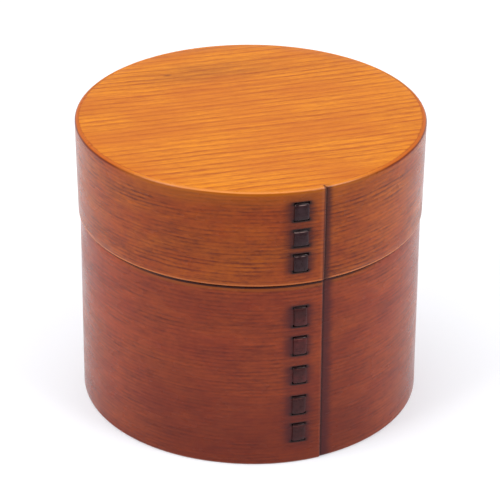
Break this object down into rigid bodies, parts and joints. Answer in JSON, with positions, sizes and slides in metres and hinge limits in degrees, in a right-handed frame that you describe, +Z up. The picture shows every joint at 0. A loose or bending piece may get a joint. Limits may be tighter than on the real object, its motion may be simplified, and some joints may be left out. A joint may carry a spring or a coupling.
{
  "type": "tea caddy",
  "caption": "Squat round bentwood tea caddy in wiped lacquer, with lapped hoops laced with bark, a lift-off lid over an inner ring, and a loose inner lid.",
  "frame": {"origin": "middle of the foot, on the surface that the caddy stands on", "axes": "+Z up through the lid, front towards -Y, with the seams of the laps turned 24 degrees from the front towards +X"},
  "size_m": [0.11, 0.1102, 0.095],
  "materials": {
    "top_wood": "orange transparent lacquer over straight-grained cedar, satin gloss",
    "lid_wood": "russet transparent lacquer over bent cedar, satin gloss",
    "body_wood": "red-brown transparent lacquer over bent cedar, satin gloss",
    "inside_wood": "thin lacquer over cedar, satin",
    "lid_bark": "near-black lacquered cherry bark, semi-gloss",
    "body_bark": "dark red-brown lacquered cherry bark, semi-gloss"
  },
  "bodies": {
    "body": {"body_hoop": "body_wood", "bottom_board": "inside_wood", "body_bark_lacing": "body_bark", "inner_ring": "inside_wood"},
    "inner_lid": {"inner_lid_board": "inside_wood", "inner_lid_knob": "inside_wood"},
    "lid": {"lid_hoop": "lid_wood", "lid_top_board": "top_wood", "lid_bark_lacing": "lid_bark"}
  },
  "joints": [
    {"name": "inner_lid_lift", "type": "slide", "parent": "body", "child": "inner_lid", "axis": [0, 0, 1], "range_m": [0, 0.04]},
    {"name": "lid_lift", "type": "slide", "parent": "inner_lid", "child": "lid", "axis": [0, 0, 1], "range_m": [0, 0.06]}
  ]
}
